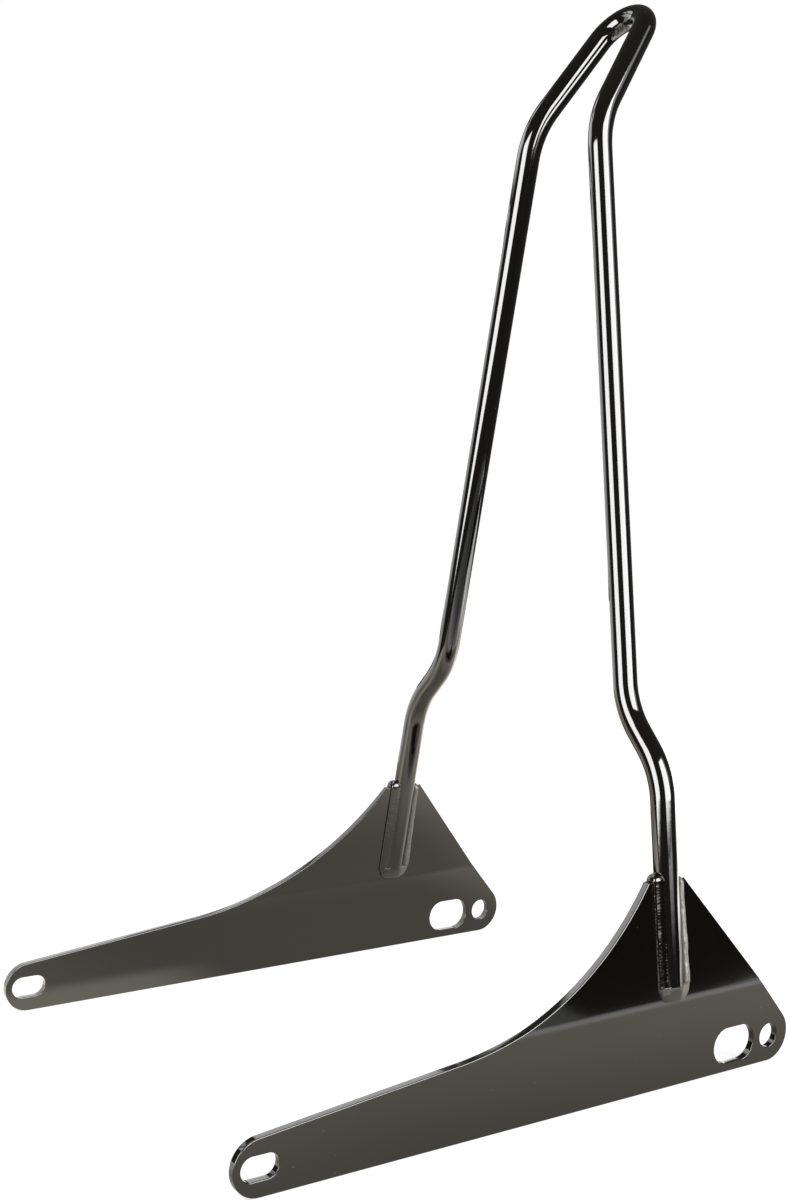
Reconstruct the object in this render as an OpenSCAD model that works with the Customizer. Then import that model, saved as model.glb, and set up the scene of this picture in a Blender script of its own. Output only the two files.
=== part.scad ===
// Sissy bar: one bent round bar, welded into a bent flat plate on each side.
// X runs to the rear, Y across the machine and Z up. The origin is the middle of the
// footprint, on the surface that the plates' lower edges stand on.

/* [Bar] */
// Diameter of the round bar
bar_d = 12.7; // [11:0.1:14]
// Height of the hoop's top above the plates' lower edges
hoop_h = 556; // [545:1:640]
// Radius of the bend at the top of the hoop, to the bar's centre
hoop_r = 17.1; // [14:0.1:20]
// Distance between the two legs at the swept bend, centre to centre
neck_gap = 54.2; // [50:0.2:70]
// Height of the swept bend's corner
sweep_h = 485; // [420:1:490]
// Angle by which the top is swept back from upright
sweep_deg = 34.4; // [20:0.2:40]
// Radius of the swept bend, to the bar's centre
sweep_r = 52; // [35:1:60]
// Distance between the two legs at the top of the jog, centre to centre
jog_gap = 155.4; // [140:0.2:170]
// Height of the corner where the jog begins
jog_h = 155; // [140:1:175]
// Height that the jog takes, from corner to corner
jog_rise = 28; // [26:0.5:40]
// How far the jog sets the leg forward
jog_forward = 1; // [0:0.1:3]
// Radius of the jog's two bends, to the bar's centre
jog_r = 44; // [25:1:46]
// Angle by which the legs are raked back in side view
rake_deg = 0.7; // [0:0.1:3]
// Distance from the front slot to the leg's centreline, carried down to the ground
leg_x = 234.2; // [225:0.2:242]
// Height of the leg's cut end above the plate's lower edge
foot_h = 51; // [50:0.5:60]

/* [Side plates] */
// Thickness of the plate
plate_t = 4; // [3:0.1:6]
// Width over the outer faces of both plates
plates_w = 250; // [230:1:280]
// Height of the top of the plate
plate_h = 102.8; // [95:0.2:115]
// Height of the line on which the plate is bent inward
fold_h = 44.2; // [38:0.2:46]
// Angle by which the upper plate leans inward, with the leg that it holds
fold_deg = 9.2; // [4:0.1:12]
// Inner radius of that bend
fold_r = 22; // [5:1:25]
// Radius of the plate's round front end
front_r = 13; // [11:0.1:15]
// Rise of the plate's upper edge, behind its front end
taper_deg = 5.9; // [2:0.1:7]
// Distance from the front slot to the start of the hollow curve
hollow_x = 103; // [90:1:110]
// Radius of the hollow curve in the upper edge
hollow_r = 173; // [165:1:185]
// Slope of the rear edge
rear_deg = 48.8; // [46:0.1:52]
// Radius of the plate's round rear corner
rear_r = 14; // [12:0.1:16]

/* [Holes] */
// Width of the front slot
front_slot_w = 11; // [8:0.1:13]
// Length of the front slot, end to end
front_slot_l = 18.6; // [14:0.1:19]
// Height of the front slot's centre
front_slot_z = 13; // [11:0.1:15]
// Distance from the front slot to the rear slot, centre to centre
slot_gap = 280; // [272:0.5:284]
// Width of the rear slot
rear_slot_w = 18.4; // [12:0.1:20]
// Length of the rear slot, end to end
rear_slot_l = 28.7; // [22:0.1:30]
// Diameter of the round hole
hole_d = 12.4; // [8:0.1:14]
// Distance from the rear slot to the round hole, centre to centre
hole_gap = 25.3; // [24:0.1:28]
// Height of the centres of the rear slot and the round hole
rear_hole_z = 13.7; // [12:0.1:15]
// Clearance of the notch around the leg, on each side
notch_gap = 0.1; // [0.05:0.05:0.5]

/* [Welds] */
// Radius of the front bead about the plate's middle plane
front_bead_r = 4.5; // [3.6:0.1:5.5]
// Radius of the rear bead at its upper end
rear_bead_r = 4.4; // [3.6:0.1:5.5]
// What the rear bead gains in radius towards the foot
rear_bead_flare = 1.8; // [0:0.1:2.5]
// Radius of the bead below the foot
toe_bead_r = 6; // [4.5:0.1:6.5]
// Distance from one ripple of a bead to the next
ripple_gap = 2.6; // [2:0.1:4]
// How far a bead's line lies outside the leg's side
bead_out = 0.3; // [0:0.1:1]

/* [Hidden] */
$fn = 96;
COAT = [0.05, 0.05, 0.05];
WELD = [0.16, 0.16, 0.17];

// The plate's section: an upright lower part, a bend about this centre, and the leaning part
plate_mid_y = plates_w / 2 - plate_t / 2;
fold_centre_y = plates_w / 2 - plate_t - fold_r;
fold_start_z = fold_h - (fold_r + plate_t / 2) * tan(fold_deg / 2);

// The plate's outline, drawn from the front slot's centre
hole_x = slot_gap + hole_gap;
rear_end_x = hole_x + rear_r;
middle_x = (rear_end_x - front_r) / 2;
taper_start = [-front_r * sin(taper_deg), front_r + front_r * cos(taper_deg)];
hollow_start = [hollow_x, taper_start.y + (hollow_x - taper_start.x) * tan(taper_deg)];
hollow_centre = hollow_start + hollow_r * [-sin(taper_deg), cos(taper_deg)];
top_front_x = hollow_centre.x + sqrt(pow(hollow_r, 2) - pow(hollow_centre.y - plate_h, 2));
top_rear_x = hole_x - ((plate_h - rear_r) * cos(rear_deg) - rear_r) / sin(rear_deg);
rear_tangent = [hole_x, rear_r] + rear_r * [sin(rear_deg), cos(rear_deg)];

// The corners of the right leg, from its foot up
function low_leg(z) = [leg_x + z * tan(rake_deg), plate_mid_y - (z - fold_h) * tan(fold_deg), z];
function high_leg(z, gap) = [leg_x - jog_forward + z * tan(rake_deg), gap / 2, z];
foot = low_leg(foot_h);
jog_low = low_leg(jog_h);
jog_high = high_leg(jog_h + jog_rise, jog_gap);
neck = high_leg(sweep_h, neck_gap);

// The hoop's top: both legs run in along the slope to one arc, which they meet at a tangent
slope = [sin(sweep_deg), 0, cos(sweep_deg)];
slope_l = (hoop_h - bar_d / 2 - sweep_h) / cos(sweep_deg) - hoop_r;
converge_deg = atan(neck_gap / 2 / slope_l) - asin(hoop_r / norm([neck_gap / 2, slope_l]));
hoop_centre = [neck.x, 0, neck.z] + slope_l * slope;
hoop_start = hoop_centre + hoop_r * (cos(converge_deg) * [0, 1, 0] + sin(converge_deg) * slope);

// Where each bend leaves the straight lengths
jog_low_from = along(jog_low, foot, setback(foot, jog_low, jog_high, jog_r));
jog_low_to = along(jog_low, jog_high, setback(foot, jog_low, jog_high, jog_r));
jog_high_from = along(jog_high, jog_low, setback(jog_low, jog_high, neck, jog_r));
jog_high_to = along(jog_high, neck, setback(jog_low, jog_high, neck, jog_r));
neck_from = along(neck, jog_high, setback(jog_high, neck, hoop_start, sweep_r));
neck_to = along(neck, hoop_start, setback(jog_high, neck, hoop_start, sweep_r));

// The frame of the leg's foot: up along the leg, and out of the plate's outer face
leg_up = unit(jog_low - foot);
leg_out = [0, cos(fold_deg), sin(fold_deg)];
notch_w = bar_d + 2 * notch_gap;
bead_x = bar_d / 2 + bead_out;
bead_l = (plate_h - foot_h) / leg_up.z;
ripples = floor(bead_l / ripple_gap);
toe_ripples = ceil(2 * bead_x / ripple_gap);

// How far a cutting shape runs past what it cuts
past = 20;
// What the ball at each seam of the bar stands proud, and how short of it each bend stops
seam_proud = 0.01;
seam_gap = 0.02;

function unit(v) = v / norm(v);
// The point at a distance from one point towards another
function along(from, to, distance) = from + distance * unit(to - from);
// How much of each straight side a bend at a corner takes up
function setback(before, corner, after, r) =
    r / tan(acos(unit(before - corner) * unit(after - corner)) / 2);

// Places its children at a point, with their X and Z along two directions at right angles.
// The whole millimetres come first, so that the rest keeps all its digits.
module frame(at, x, z) {
    y = cross(z, x);
    whole = [floor(at.x), floor(at.y), floor(at.z)];
    rest = at - whole;
    translate(whole)
        multmatrix([[x.x, y.x, z.x, rest.x], [x.y, y.y, z.y, rest.y], [x.z, y.z, z.z, rest.z]]) children();
}

// A straight length of bar
module rod(from, to) {
    up = unit(to - from);
    frame(from, unit(cross([0, 1, 0], up)), up) cylinder(d = bar_d, h = norm(to - from));
}

// A ball a hair wider than the bar, which closes the seam between a straight length and a bend
module seam(at) {
    frame(at, [1, 0, 0], [0, 0, 1]) sphere(d = bar_d + seam_proud);
}

// An arc of bar, which starts on its own X axis and turns about its own Z axis
module arc(r, turn) {
    short_deg = atan(seam_gap / r);
    rotate([0, 0, short_deg]) rotate_extrude(angle = turn - 2 * short_deg)
        translate([r, 0]) circle(d = bar_d);
}

// A bend of the bar around a corner, between the points where it leaves the straight lengths
module bend(from, corner, to) {
    back = norm(from - corner);
    half = acos(unit(from - corner) * unit(to - corner)) / 2;
    r = back * tan(half);
    centre = corner + r / sin(half) * unit(from + to - 2 * corner);
    start = unit(from - centre);
    frame(centre, start, unit(cross(start, to - centre))) arc(r, 180 - 2 * half);
    seam(from);
    seam(to);
}

// The straight length that stands in the plate's notch
module foot_length() {
    rod(foot, jog_low_from);
}

// The right leg, from its foot to the start of the top arc
module leg() {
    foot_length();
    bend(jog_low_from, jog_low, jog_low_to);
    rod(jog_low_to, jog_high_from);
    bend(jog_high_from, jog_high, jog_high_to);
    rod(jog_high_to, neck_from);
    bend(neck_from, neck, neck_to);
    rod(neck_to, hoop_start);
    seam(hoop_start);
}

// One bar: two legs, mirrored, and the arc that joins them at the top
module bent_bar() {
    leg();
    mirror([0, 1, 0]) leg();
    frame(hoop_centre, [0, 1, 0], cross([0, 1, 0], slope))
        rotate([0, 0, converge_deg]) arc(hoop_r, 180 - 2 * converge_deg);
}

// A slot with round ends
module slot(l, w) {
    square([l - w, w], center = true);
    for (side = [-1, 1]) translate([side * (l - w) / 2, 0]) circle(d = w);
}

// The plate's outline in side view: round ends, a tapered nose, a hollow curve and a sloping rear
module outline() {
    difference() {
        union() {
            translate([0, front_r]) circle(r = front_r);
            translate([hole_x, rear_r]) circle(r = rear_r);
            polygon([[0, 0], [hole_x, 0], [hole_x, rear_r], rear_tangent, [top_rear_x, plate_h],
                [top_front_x, plate_h], hollow_start, taper_start, [0, front_r]]);
        }
        translate(hollow_centre) circle(r = hollow_r);
    }
}

// All that lies inboard of one face of the plate: upright, round the bend, then leaning
module inboard(r, depth) {
    translate([fold_centre_y, fold_start_z]) {
        translate([-depth, -fold_start_z - depth]) square([depth + r, fold_start_z + depth]);
        circle(r = r);
        rotate(fold_deg) translate([-depth, 0]) square([depth + r, plate_h]);
    }
}

// The plate's section across its length: what lies inboard of its outer face but not of its inner one
module section() {
    difference() {
        inboard(fold_r + plate_t, past);
        inboard(fold_r, 2 * past);
    }
}

// The right plate before its notch and holes are cut
module plate_blank() {
    intersection() {
        translate([-front_r - past, 0, 0]) rotate([90, 0, 90])
            linear_extrude(rear_end_x + front_r + 2 * past) section();
        translate([0, plates_w / 2, 0]) rotate([90, 0, 0]) linear_extrude(plates_w / 2) outline();
    }
}

module side_plate() {
    difference() {
        plate_blank();
        translate([0, plates_w / 2 + past, 0]) rotate([90, 0, 0]) linear_extrude(plate_t + 2 * past) {
            translate([0, front_slot_z]) slot(front_slot_l, front_slot_w);
            translate([slot_gap, rear_hole_z]) slot(rear_slot_l, rear_slot_w);
            translate([hole_x, rear_hole_z]) circle(d = hole_d);
        }
        at_foot() translate([-notch_w / 2, -past / 2, 0]) cube([notch_w, past, bead_l + past]);
    }
}

// Places its children at the cut end of the right leg, with Z along the leg
module at_foot() {
    frame(foot, unit(cross(leg_out, leg_up)), leg_up) children();
}

// A rippled bead: one round ripple after another along Z, which may grow in radius
module bead(count, gap, r_start, r_end) {
    rotate_extrude() intersection() {
        union() for (i = [0 : count]) translate([0, i * gap]) circle(r = r_start + (r_end - r_start) * i / count);
        translate([0, -past]) square([past, count * gap + 2 * past]);
    }
}

// The weld of the right leg: a bead up each side of it, over the plate's top, and one below its foot
module weld() {
    difference() {
        at_foot() {
            rise = bead_l / ripples;
            run = 2 * bead_x / toe_ripples;
            translate([-bead_x, 0, 0]) bead(ripples, rise, front_bead_r, front_bead_r);
            translate([bead_x, 0, 0]) bead(ripples, rise, rear_bead_r + rear_bead_flare, rear_bead_r);
            translate([-bead_x, 0, 0]) rotate([0, 90, 0]) bead(toe_ripples, run, toe_bead_r, toe_bead_r);
        }
        plate_blank();
        foot_length();
    }
}

module hoop_bar() {
    color(COAT) translate([-middle_x, 0, 0]) bent_bar();
}

module left_side_plate() {
    color(COAT) translate([-middle_x, 0, 0]) mirror([0, 1, 0]) side_plate();
}

module right_side_plate() {
    color(COAT) translate([-middle_x, 0, 0]) side_plate();
}

module left_weld_bead() {
    color(WELD) translate([-middle_x, 0, 0]) mirror([0, 1, 0]) weld();
}

module right_weld_bead() {
    color(WELD) translate([-middle_x, 0, 0]) weld();
}

hoop_bar();
left_side_plate();
right_side_plate();
left_weld_bead();
right_weld_bead();
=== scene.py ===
"""The looks of a gloss black sissy bar: one bent round bar, welded into a bent plate on each side."""
import math

import bmesh
import bpy
from mathutils import Matrix, Vector, noise


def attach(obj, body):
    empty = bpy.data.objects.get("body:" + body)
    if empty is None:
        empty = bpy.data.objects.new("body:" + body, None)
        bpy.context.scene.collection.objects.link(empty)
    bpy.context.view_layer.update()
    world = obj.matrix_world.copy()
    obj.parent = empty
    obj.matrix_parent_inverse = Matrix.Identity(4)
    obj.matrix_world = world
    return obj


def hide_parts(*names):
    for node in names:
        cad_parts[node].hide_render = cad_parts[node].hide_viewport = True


MM = 0.001
SIDES = {"left": -1, "right": 1}

# Bar, in metres, as the solid has it
BAR_R = 6.35 * MM
BAR_SIDES = 64
BEND_STEP = math.radians(2.5)
WELD_DIST = 0.01 * MM
BAR_FOOT = Vector((81.673, 121.899, 51)) * MM
BAR_BENDS = ((Vector((82.944, 105.054, 155)) * MM, 44 * MM),
             (Vector((82.286, 77.7, 183)) * MM, 44 * MM),
             (Vector((85.976, 27.1, 485)) * MM, 52 * MM))
HOOP_START = Vector((122.105, 16.886, 537.766)) * MM
HOOP_CENTRE = Vector((120.582, 0, 535.541)) * MM

# Plates and welds
EDGE_R = 0.5 * MM
CUT_CORNER = math.radians(50)
FOLD = math.radians(9.2)
BEAD_OUT = 6.65 * MM
BEAD_L = 52.5 * MM
BEAD_STEP = 0.22 * MM
FRONT_BEAD = (4.3 * MM, 4.0 * MM)
REAR_BEAD_FOOT = (2.7 * MM, 4.3 * MM)
REAR_BEAD_TOP = (2.0 * MM, 3.3 * MM)
REAR_BEAD_OUT = 8.4 * MM
FRONT_BEAD_DOWN = 4 * MM
REAR_BEAD_DOWN = 2 * MM
RIPPLE = 1.6 * MM
RIPPLE_LEAN = 0.9 * MM
TOE_SIZE = (9.8 * MM, 4.8 * MM, 8.0 * MM)
TOE_SHAPE = (0.7, 0.3, 0.7)
TOE_TOP = 0.1

# Coat
BLACK = (0.0042, 0.0036, 0.0024, 1)
DUST = (0.30, 0.29, 0.26, 1)
# Grey painted sheen for the rear weld run, standing in for the light it reflects
REAR_WELD_PAINTED_SHEEN = (0.130, 0.121, 0.108, 1)
COAT_IOR = 1.5
SPECKS = 0.90

# Camera, from the fit of the whole object to the photograph
CAMERA_AT = (-0.49279, -0.68657, 0.32243)
CAMERA_YAW = -0.622
CAMERA_PITCH = 0.088
CAMERA_ROLL = 0.047
CAMERA_LENS = 49.2
CAMERA_SHIFT = (-0.0145, -0.0259)

# Studio
FLOOR_R = 0.85
FLOOR_X = 0.25
EYE_FLOOR = 0.72
PLATE_OUT = 0.123
FLAG_AT = (0.5475, -0.44, 0.045)
FLAG_SIZE = (0.605, 0.09)
FLAG_CORNER = 0.058
WARM = (1.0, 0.94, 0.80, 1)
PAPER = (0.4, 0.4, 0.4, 1)
WHITE = (1, 1, 1, 1)
LEGS_AT = Vector((0.085, -0.05, 0))


class Socket:
    """A shader value that Python's operators work on, each one adding its Math node."""

    def __init__(self, material, link):
        self.material = material
        self.link = link

    def math(self, operation, *others):
        return self.material.node("ShaderNodeMath", {"operation": operation}, [self, *others])[0]

    def __add__(self, other):
        return self.math("ADD", other)

    def __sub__(self, other):
        return self.math("SUBTRACT", other)

    def __mul__(self, other):
        return self.math("MULTIPLY", other)

    def __gt__(self, other):
        return self.math("GREATER_THAN", other)

    def __rsub__(self, other):
        return self.material.node("ShaderNodeMath", {"operation": "SUBTRACT"}, [other, self])[0]

    __radd__ = __add__
    __rmul__ = __mul__


class Shader:
    """The node tree of one material or of the world."""

    def __init__(self, owner):
        owner.use_nodes = True
        self.owner = owner
        self.tree = owner.node_tree
        self.tree.nodes.clear()

    def node(self, kind, settings=None, inputs=None):
        """Adds a node, sets it, fills its sockets by place or by name, and returns its outputs."""
        made = self.tree.nodes.new(kind)
        for name, value in (settings or {}).items():
            setattr(made, name, value)
        pairs = inputs.items() if isinstance(inputs, dict) else enumerate(inputs or [])
        for key, value in pairs:
            if isinstance(value, Socket):
                self.tree.links.new(value.link, made.inputs[key])
            else:
                made.inputs[key].default_value = value
        return [Socket(self, out) for out in made.outputs]

    def place(self):
        return self.node("ShaderNodeTexCoord")[3]

    def noise(self, scale, detail=2.0, at=None):
        inputs = {"Vector": at or self.place(), "Scale": scale, "Detail": detail}
        return self.node("ShaderNodeTexNoise", {}, inputs)[0]

    def band(self, value, low, high):
        """Rises smoothly from 0 at low to 1 at high."""
        inputs = {"Value": value, "From Min": low, "From Max": high}
        return self.node("ShaderNodeMapRange", {"interpolation_type": "SMOOTHSTEP"}, inputs)[0]

    def mix(self, factor, one, other):
        """Colours mixed by a factor."""
        return self.node("ShaderNodeMix", {"data_type": "RGBA"}, {0: factor, 6: one, 7: other})[2]

    def bump(self, height, distance, strength=1.0, after=None):
        inputs = {"Height": height, "Distance": distance, "Strength": strength}
        if after:
            inputs["Normal"] = after
        return self.node("ShaderNodeBump", {}, inputs)[0]

    def glow(self, colour, strength):
        return self.node("ShaderNodeEmission", {}, {"Color": colour, "Strength": strength})[0]

    def surface(self, shader):
        """Ends the tree in its output, and returns the material or the world."""
        kind = "World" if isinstance(self.owner, bpy.types.World) else "Material"
        self.node("ShaderNodeOutput" + kind, {}, {"Surface": shader})
        return self.owner


def new_shader(name):
    return Shader(bpy.data.materials.new(name))


def gloss_black(name, roughness, peel):
    """A gloss black coat: faint peel, a slow change of tone, and a few specks of dust."""
    s = new_shader(name)
    tone = s.mix(s.noise(22, 3), BLACK, [c * 0.8 for c in BLACK[:3]] + [1])
    grain = s.noise(1600, 1)
    dust = s.band(s.noise(900, 0), SPECKS, SPECKS + 0.03)
    colour = s.mix(dust * 0.5, tone, DUST)
    normal = s.bump(s.noise(260, 1) + grain * 0.2, peel)
    shader = s.node("ShaderNodeBsdfPrincipled", {}, {
        "Base Color": colour,
        "Roughness": roughness + grain * 0.05 + dust * 0.2,
        "IOR": COAT_IOR, "Normal": normal})[0]
    return s.surface(shader)


def weld_black():
    """The coat over the welds: gloss black in front; duller and streaked along the rear run, whose grey base
    colour is a painted sheen that stands in for the light it reflects.
    """
    s = new_shader("weld_coat")
    x = s.node("ShaderNodeSeparateXYZ", {}, [s.place()])[0]
    rear = s.band(x, BAR_FOOT.x + 2 * MM, BAR_FOOT.x + 5 * MM)
    along = s.node("ShaderNodeMapping", {}, {"Vector": s.place(), "Scale": (1.0, 1.0, 0.12)})[0]
    streaks = s.noise(1500, 2, along) * rear
    grain = s.noise(900, 3)
    normal = s.bump(grain * (0.06 + rear * 0.9) + streaks * 1.5, 0.12 * MM)
    shader = s.node("ShaderNodeBsdfPrincipled", {}, {
        # The rear run's grey base colour is painted sheen, standing in for reflected light
        "Base Color": s.mix(rear, BLACK, REAR_WELD_PAINTED_SHEEN),
        "Roughness": 0.03 + rear * 0.30 + grain * 0.06,
        "IOR": COAT_IOR, "Normal": normal})[0]
    return s.surface(shader)


def make_camera():
    data = bpy.data.cameras.new("camera")
    data.lens = CAMERA_LENS
    data.shift_x, data.shift_y = CAMERA_SHIFT
    camera = bpy.data.objects.new("camera", data)
    turn = (Matrix.Rotation(CAMERA_YAW, 4, "Z") @ Matrix.Rotation(math.pi / 2 - CAMERA_PITCH, 4, "X")
            @ Matrix.Rotation(CAMERA_ROLL, 4, "Z"))
    camera.matrix_world = Matrix.Translation(CAMERA_AT) @ turn
    bpy.context.scene.collection.objects.link(camera)
    bpy.context.scene.camera = camera


def mesh_object(name, bm):
    mesh = bpy.data.meshes.new(name)
    bm.to_mesh(mesh)
    bm.free()
    made = bpy.data.objects.new(name, mesh)
    bpy.context.scene.collection.objects.link(made)
    return made


def heading(degrees):
    """The level direction at an angle from the rear, turned towards the right side."""
    a = math.radians(degrees)
    return Vector((math.cos(a), math.sin(a), 0))


def stage_for_gloss(card, material):
    """Stages a card that only gloss sees."""
    card.data.materials.append(material)
    card.visible_camera = False
    card.visible_diffuse = False
    card.visible_shadow = False


def make_card(name, centre, facing, size, strength, corner, soft, roll=0.0):
    """A panel that only gloss shows, with round corners and an edge that fades over a distance."""
    width, height = size
    bm = bmesh.new()
    bmesh.ops.create_grid(bm, x_segments=1, y_segments=1, size=0.5)
    card = mesh_object(name, bm)
    ahead = facing.normalized()
    side = Vector((0, 0, 1)).cross(ahead).normalized()
    turn = Matrix((side, ahead.cross(side), ahead)).transposed().to_4x4() @ Matrix.Rotation(roll, 4, "Z")
    card.matrix_world = Matrix.Translation(centre) @ turn @ Matrix.Diagonal((width, height, 1, 1))
    s = new_shader(name)
    x, y, _ = s.node("ShaderNodeSeparateXYZ", {}, [s.place()])
    past_x = (x.math("ABSOLUTE") * width - (width / 2 - corner)).math("MAXIMUM", 0.0)
    past_y = (y.math("ABSOLUTE") * height - (height / 2 - corner)).math("MAXIMUM", 0.0)
    inside = corner - (past_x * past_x + past_y * past_y).math("SQRT")
    light = s.band(inside, 0.0, soft) * strength
    stage_for_gloss(card, s.surface(s.glow(WHITE, light)))


def glow_between(s, x, y, out):
    """How strongly the floor between and behind the plates shows in the gloss: dimmer next to each plate's
    foot, which is painted shade, and brighter towards the ends.
    """
    ends = s.band(0 - x, 0.05, 0.15) * 0.4 + s.band(0 - x, 0.18, 0.32) * 1.3 + s.band(x, 0.17, 0.24) * 0.8
    glow = 1.15 + s.band(out, -0.03, 0.08) - s.band(out, 0.07, 0.11) * 1.6
    glow = glow + s.band(y, 0.14, 0.20) * 1.2 + ends
    glow = glow + s.band(y, 0.085, 0.105) * s.band(0 - x, 0.02, 0.08) * 1.5
    glow = glow - s.band(y, 0.24, 0.36) * 1.5
    glow = glow - s.band(y, 0.16, 0.22) * s.band(0 - x, 0.08, 0.16) * 2.0
    return glow.math("MAXIMUM", 0.3)


def glow_beside(s, x, out, pool):
    """How strongly the floor on the left plate's outer side shows in the gloss: dimmer by the plate's foot,
    which is painted shade, then a painted pool of light further out, and dimmer again beyond it.
    """
    glow = 1.05 + s.band(0 - x, 0.05, 0.15) * 0.15 + s.band(out, 0.12, 0.20) * 0.5
    return glow + pool * 1.1 - s.band(out, 0.26, 0.42) * 1.9


def glow_behind(s, x, out):
    """How strongly the strip of floor behind the object shows in the gloss: a painted bright strip, brighter
    further out.
    """
    strip = s.band(x, 0.40, 0.47) * s.band(out, -0.30, -0.05) * (1 - s.band(out, 0.62, 0.78))
    return strip * (1.5 + s.band(out, 0.15, 0.35) * 3.4)


def floor_white():
    """White to the eye, matt grey paper for the shadow, and in the gloss a glow of painted light and shade:
    painted shade by the plates' feet, a painted pool of light and a painted bright strip behind.
    """
    s = new_shader("floor_white")
    path = s.node("ShaderNodeLightPath")
    is_camera, is_glossy = path[0], path[3]
    x, y, _ = s.node("ShaderNodeSeparateXYZ", {}, [s.place()])
    out = 0 - y
    beside = out > PLATE_OUT
    # A painted pool of light on the floor, seen only in the gloss
    pool = s.band(out, 0.205, 0.24)
    near = glow_between(s, x, y, out) * (1 - beside) + glow_beside(s, x, out, pool) * beside
    gloss = s.glow(s.mix(pool, WARM, WHITE), near + glow_behind(s, x, out))
    paper = s.node("ShaderNodeBsdfDiffuse", {}, {"Color": PAPER})[0]
    seen = s.node("ShaderNodeAddShader", {}, [paper, s.glow(WHITE, is_camera * EYE_FLOOR)])[0]
    return s.surface(s.node("ShaderNodeMixShader", {}, [is_glossy, seen, gloss])[0])


def make_floor():
    """A round white floor that keeps the object's shadow."""
    bm = bmesh.new()
    place = Matrix.Translation((FLOOR_X, 0, -0.2 * MM))
    bmesh.ops.create_circle(bm, cap_ends=True, segments=96, radius=FLOOR_R, matrix=place)
    floor = mesh_object("floor", bm)
    floor.data.materials.append(floor_white())


def make_world():
    """White to the eye, a dim even light on what is matt, and nearly dark in the gloss."""
    world = bpy.data.worlds.new("studio")
    bpy.context.scene.world = world
    s = Shader(world)
    path = s.node("ShaderNodeLightPath")
    is_camera, is_glossy, is_clear = path[0], path[3], path[6]
    white, fill, room = [s.node("ShaderNodeBackground", {}, {"Color": WHITE, "Strength": strength})[0]
                         for strength in (1.0, 0.45, 0.12)]
    unseen = s.node("ShaderNodeMixShader", {}, [is_glossy, fill, room])[0]
    s.surface(s.node("ShaderNodeMixShader", {}, [(is_camera + is_clear) > 0.5, unseen, white])[0])


def make_lamp(name, direction, elevation, distance, size, power):
    """A soft lamp for what is matt. The panels give the gloss its reflections."""
    data = bpy.data.lights.new(name, "AREA")
    data.size = size
    data.energy = power
    lamp = bpy.data.objects.new(name, data)
    e = math.radians(elevation)
    towards = heading(direction) * math.cos(e) + Vector((0, 0, math.sin(e)))
    lamp.location = towards * distance
    lamp.rotation_mode = "QUATERNION"
    lamp.rotation_quaternion = towards.to_track_quat("Z", "Y")
    lamp.visible_glossy = False
    bpy.context.scene.collection.objects.link(lamp)


def hung_panel(name, direction, distance, height, size, strength, corner, soft, roll=0.0):
    """An upright panel that faces the legs, at a distance and with its middle at a height."""
    at = LEGS_AT + heading(direction) * distance + Vector((0, 0, height))
    make_card(name, at, -heading(direction), size, strength, corner, soft, roll)


def far_panels():
    """The big panels that the legs and the hoop mirror."""
    hung_panel("side_panel", -80.0, 3.6, 2.07, (3.74, 3.60), 22.5, 0.4, 0.22)
    skirt_at = LEGS_AT + heading(-80) * 3.7 - heading(10) * 0.3 + Vector((0, 0, 0.62))
    make_card("side_skirt", skirt_at, -heading(-80), (3.0, 1.36), 8.0, 0.5, 0.5)
    hung_panel("side_glow", -55, 4.5, 2.7, (3.5, 3.7), 4.0, 1.1, 1.1)
    hung_panel("front_panel", -175.4, 1.25, 0.53, (0.94, 1.07), 21.5, 0.14, 0.08, math.radians(-15))
    hung_panel("back_panel", 94, 0.9, 0.09, (1.5, 1.15), 3.0, 0.1, 0.12, math.radians(-20))
    hung_panel("high_back_panel", 115, 2.3, 1.6, (1.1, 1.1), 5.5, 0.3, 0.3)


def close_cards():
    """The small cards that the weld, the crown, the cut edges and the slots mirror."""
    make_card("rear_card", Vector((0.54, -0.25, 0.03)), Vector((-1, 0.3, 0)), (0.22, 0.06), 10.0, 0.02, 0.02)
    make_card("top_card", Vector((0.02, 0.30, 0.71)), Vector((0.35, -1, -0.55)), (0.14, 0.12), 4.0,
              0.04, 0.04)
    make_card("hollow_card", Vector((-0.13, 0.41, 0.62)), Vector((0, -1, -0.9)), (0.46, 0.24), 4.5,
              0.06, 0.06)
    make_card("slot_card", Vector((0.33, 0.07, 0.085)), Vector((-1, -0.9, 0)), (0.16, 0.06), 5.0, 0.02, 0.01)
    make_card("edge_card", Vector((0.20, 0.41, 0.335)), Vector((0, -1, 0)), (0.36, 0.33), 2.8, 0.03, 0.03)


def make_flag():
    """A low black card beside the left plate, which gives its leaning part a dark reflection."""
    bm = bmesh.new()
    bmesh.ops.create_grid(bm, x_segments=1, y_segments=1, size=0.5)
    low_front = [v for v in bm.verts if v.co.x < 0 and v.co.y < 0]
    upright = Matrix.Translation(FLAG_AT) @ Matrix.Rotation(math.pi / 2, 4, "X")
    bmesh.ops.transform(bm, matrix=upright @ Matrix.Diagonal((*FLAG_SIZE, 1, 1)), verts=bm.verts[:])
    bmesh.ops.bevel(bm, geom=low_front, offset=FLAG_CORNER, affect="VERTICES", segments=6, profile=0.5,
                    material=-1)
    s = new_shader("flag_black")
    stage_for_gloss(mesh_object("flag", bm), s.surface(s.glow(WHITE, 0.02)))


def make_studio():
    make_world()
    make_floor()
    make_lamp("key_lamp", -75, 50, 2.4, 1.4, 48)
    make_lamp("side_lamp", 180, 40, 2.4, 1.2, 24)
    far_panels()
    close_cards()
    make_flag()


def make_coats():
    return {"bar_coat": gloss_black("bar_coat", 0.03, 0.010 * MM),
            "plate_coat": gloss_black("plate_coat", 0.05, 0.005 * MM),
            "weld_coat": weld_black()}


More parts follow.
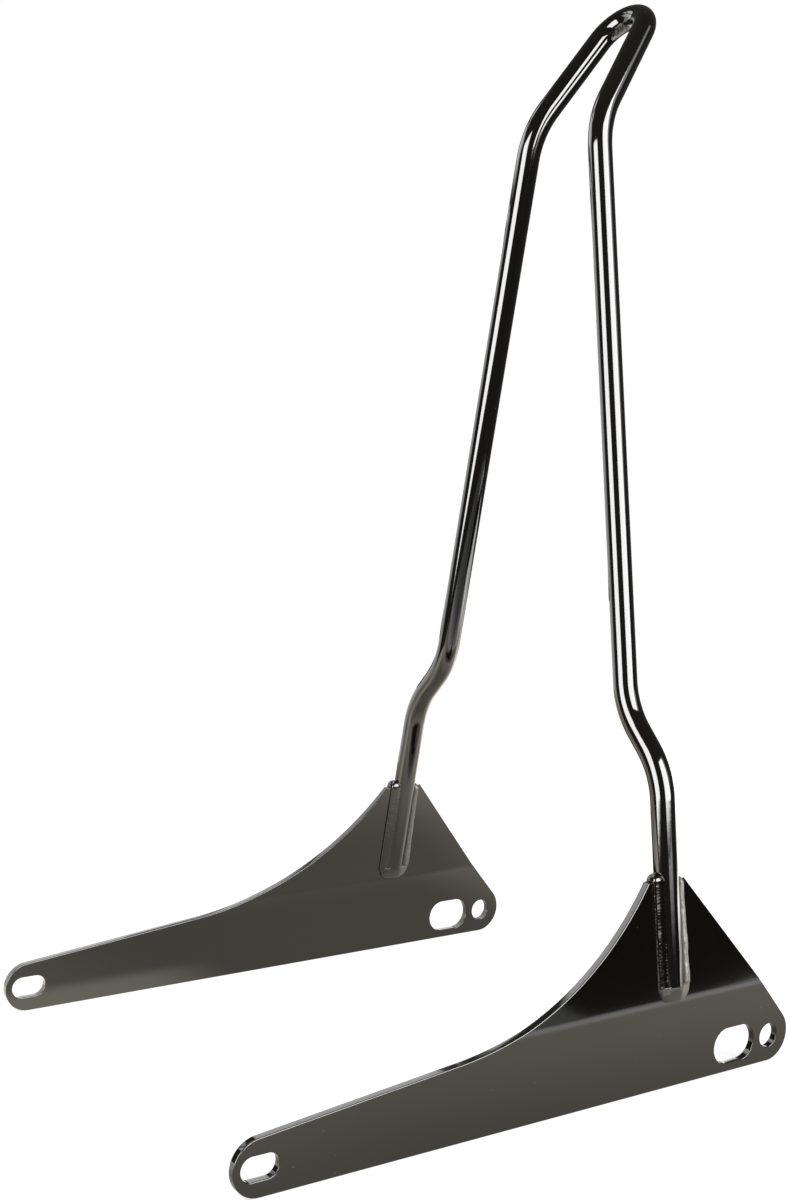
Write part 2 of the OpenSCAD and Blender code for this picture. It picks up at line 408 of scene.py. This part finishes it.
def finish_piece(piece, slot, coats, *nodes):
    """Hands a piece to the frame: it rides on the body, takes a slot's coat and stands for its nodes."""
    piece.data.materials.clear()
    piece.data.materials.append(coats[slot])
    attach(piece, "root")
    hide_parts(*nodes)


def ring_of(geometry):
    """The edges of the last ring that an operator made, with their corners."""
    edges = [g for g in geometry if isinstance(g, bmesh.types.BMEdge)]
    return edges, [g for g in geometry if isinstance(g, bmesh.types.BMVert)]


def run_straight(bm, edges, move):
    """Draws the bar's open ring out along a line, and returns its new ring."""
    made = bmesh.ops.extrude_edge_only(bm, edges=edges)["geom"]
    edges, corners = ring_of(made)
    bmesh.ops.translate(bm, verts=corners, vec=move)
    return [e for e in edges if e.is_boundary]


def run_bend(bm, edges, centre, axis, angle):
    """Turns the bar's open ring about a bend's axis, and returns its new ring."""
    corners = list(dict.fromkeys(v for e in edges for v in e.verts))
    steps = max(2, math.ceil(angle / BEND_STEP))
    made = bmesh.ops.spin(bm, geom=corners + edges, cent=centre, axis=axis, angle=angle, steps=steps,
                          dvec=(0, 0, 0), use_duplicate=False)["geom_last"]
    return [e for e in ring_of(made)[0] if e.is_boundary]


def finish_bar(bm):
    """Caps the cut foot, adds the mirror image and shades all but the cut ends smooth."""
    foot = [e for e in bm.edges if e.is_boundary and e.verts[0].co.z < BAR_BENDS[0][0].z]
    bmesh.ops.contextual_create(bm, geom=foot)
    bmesh.ops.mirror(bm, geom=bm.verts[:] + bm.edges[:] + bm.faces[:], axis="Y", merge_dist=WELD_DIST)
    bmesh.ops.remove_doubles(bm, verts=bm.verts[:], dist=WELD_DIST)
    bmesh.ops.recalc_face_normals(bm, faces=bm.faces[:])
    for face in bm.faces:
        face.smooth = len(face.verts) == 4
        if not face.smooth:
            for edge in face.edges:
                edge.smooth = False


def make_bar(coats):
    """One leg from its cut foot through the jog and the sweep to the hoop's top, then its mirror image."""
    bm = bmesh.new()
    ahead = (BAR_BENDS[0][0] - BAR_FOOT).normalized()
    upright = ahead.to_track_quat("Z", "Y").to_matrix().to_4x4()
    place = Matrix.Translation(BAR_FOOT) @ upright
    bmesh.ops.create_circle(bm, segments=BAR_SIDES, radius=BAR_R, matrix=place)
    edges = bm.edges[:]
    at = BAR_FOOT
    corners = [corner for corner, _ in BAR_BENDS] + [HOOP_START]
    for (corner, radius), beyond in zip(BAR_BENDS, corners[1:]):
        leaving = (beyond - corner).normalized()
        angle = ahead.angle(leaving)
        axis = ahead.cross(leaving).normalized()
        bend_start = corner - ahead * radius * math.tan(angle / 2)
        edges = run_straight(bm, edges, bend_start - at)
        edges = run_bend(bm, edges, bend_start + axis.cross(ahead) * radius, axis, angle)
        at = corner + leaving * radius * math.tan(angle / 2)
        ahead = leaving
    edges = run_straight(bm, edges, HOOP_START - at)
    axis = ahead.cross(Vector((0, -1, 0))).normalized()
    run_bend(bm, edges, HOOP_CENTRE, axis, ahead.angle(Vector((0, -1, 0))))
    finish_bar(bm)
    finish_piece(mesh_object("swept_bar", bm), "bar_coat", coats, "hoop_bar")


def make_plate(side, coats):
    """The folded plate as the solid has it, with every cut edge eased a little, as the coat leaves it."""
    node = side + "_side_plate"
    bm = bmesh.new()
    bm.from_mesh(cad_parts[node].data)
    bmesh.ops.remove_doubles(bm, verts=bm.verts[:], dist=0.005 * MM)
    bmesh.ops.dissolve_limit(bm, angle_limit=math.radians(0.4), verts=bm.verts[:], edges=bm.edges[:])
    sharp = [e for e in bm.edges if e.is_manifold and e.calc_face_angle() > CUT_CORNER]
    bmesh.ops.bevel(bm, geom=sharp, offset=EDGE_R, offset_type="OFFSET", affect="EDGES", segments=3,
                    profile=0.5, material=-1, clamp_overlap=True)
    for face in bm.faces:
        face.smooth = True
    plate = mesh_object("eased_" + node, bm)
    flat = plate.modifiers.new("level faces", "WEIGHTED_NORMAL")
    flat.weight = 50
    finish_piece(plate, "plate_coat", coats, node)


def leg_place():
    """The right leg's foot as a frame: X along the plate to the rear, Y out of its face, Z up the leg."""
    up = (BAR_BENDS[0][0] - BAR_FOOT).normalized()
    out = Vector((0, math.cos(FOLD), math.sin(FOLD)))
    along = out.cross(up).normalized()
    return Matrix.Translation(BAR_FOOT) @ Matrix((along, up.cross(along), up)).transposed().to_4x4()


def rough(at, size, depth):
    """A smooth random rise of about depth, over distances of about size."""
    return noise.noise(at / size) * depth


def add_bead(bm, middle, length, foot, top, ripple, wander, flat):
    """A run of weld metal along Z with rounded ends, overlapping scales and an uneven line."""
    before = len(bm.verts)
    place = Matrix.Translation((0, 0, length / 2))
    bmesh.ops.create_cone(bm, cap_ends=True, segments=44, radius1=1.0, radius2=1.0, depth=length,
                          matrix=place)
    sides = [e for e in bm.edges if abs(e.verts[0].co.z - e.verts[1].co.z) > length / 2]
    cuts = round(length / BEAD_STEP) - 1
    bmesh.ops.subdivide_edges(bm, edges=sides, cuts=cuts, use_grid_fill=True)
    for v in bm.verts[before:]:
        at = v.co.copy()
        share = at.z / length
        wide = foot[0] + (top[0] - foot[0]) * share
        thick = foot[1] + (top[1] - foot[1]) * share
        cap = min(1.0, min(at.z, length - at.z) / thick)
        dome = math.sqrt(max(0.0, 1 - (1 - cap) ** 2))
        near = Vector((at.x * wide, at.y * thick, at.z))
        scale = (at.z - RIPPLE_LEAN * abs(at.y)) / RIPPLE + rough(near + middle, 7 * MM, 0.7)
        arc = scale - math.floor(scale)
        rise = ripple * (4 * arc * (1 - arc) - 0.6) * (0.7 + rough(near + middle, 3 * MM, 0.9))
        rise += rough(near - middle, 2.2 * MM, wander) + rough(near + middle * 2, 8 * MM, wander * 2)
        shift = wide - foot[0]
        wide = max(0.0, wide * dome + rise * dome)
        thick = max(0.0, thick * dome + rise * dome)
        v.co = Vector((at.x * wide + shift, math.copysign(abs(at.y) ** flat, at.y) * thick, at.z)) + middle


def add_toe(bm):
    """The lump of weld that closes the bar's cut end on the plate."""
    place = Matrix.Diagonal((*TOE_SIZE, 1))
    made = bmesh.ops.create_uvsphere(bm, u_segments=72, v_segments=44, radius=1.0)["verts"]
    for v in made:
        v.co = Vector([math.copysign(abs(c) ** power, c) for c, power in zip(v.co, TOE_SHAPE)])
        v.co = place @ v.co
        v.co.z *= TOE_TOP if v.co.z > 0 else 1
        v.co.y *= 1 + v.co.z / (27 * MM)
        lift = rough(v.co, 2.4 * MM, 0.28 * MM) + rough(v.co, 0.9 * MM, 0.07 * MM)
        v.co += v.co.normalized() * lift
        v.co.z += rough(v.co * 1.3, 3 * MM, 0.5 * MM)


def make_weld(side, coats):
    """The front run, the wide rear run and the toe, made on the right leg and mirrored for the left."""
    bm = bmesh.new()
    front_at = Vector((-BEAD_OUT, 0, -FRONT_BEAD_DOWN))
    front_length = BEAD_L + FRONT_BEAD[1] + FRONT_BEAD_DOWN
    add_bead(bm, front_at, front_length, FRONT_BEAD, FRONT_BEAD, 0.02 * MM, 0.04 * MM, 0.32)
    rear_at = Vector((REAR_BEAD_OUT, 0, -REAR_BEAD_DOWN))
    rear_length = BEAD_L + 1 * MM + REAR_BEAD_DOWN
    add_bead(bm, rear_at, rear_length, REAR_BEAD_FOOT, REAR_BEAD_TOP, 0.03 * MM, 0.14 * MM, 0.7)
    add_toe(bm)
    bmesh.ops.transform(bm, matrix=leg_place(), verts=bm.verts[:])
    bmesh.ops.scale(bm, vec=(1, SIDES[side], 1), verts=bm.verts[:])
    bmesh.ops.recalc_face_normals(bm, faces=bm.faces[:])
    for face in bm.faces:
        face.smooth = True
    finish_piece(mesh_object(side + "_weld_run", bm), "weld_coat", coats, side + "_weld_bead")


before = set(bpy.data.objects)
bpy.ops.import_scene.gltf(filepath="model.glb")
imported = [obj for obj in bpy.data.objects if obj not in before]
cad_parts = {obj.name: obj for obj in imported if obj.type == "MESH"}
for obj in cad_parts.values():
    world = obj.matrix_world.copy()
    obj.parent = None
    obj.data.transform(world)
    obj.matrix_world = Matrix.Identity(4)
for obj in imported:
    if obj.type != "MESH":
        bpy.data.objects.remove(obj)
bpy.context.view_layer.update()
bpy.context.scene.view_settings.view_transform = "Standard"
make_camera()
make_studio()
coats = make_coats()
make_bar(coats)
for side in SIDES:
    make_plate(side, coats)
    make_weld(side, coats)
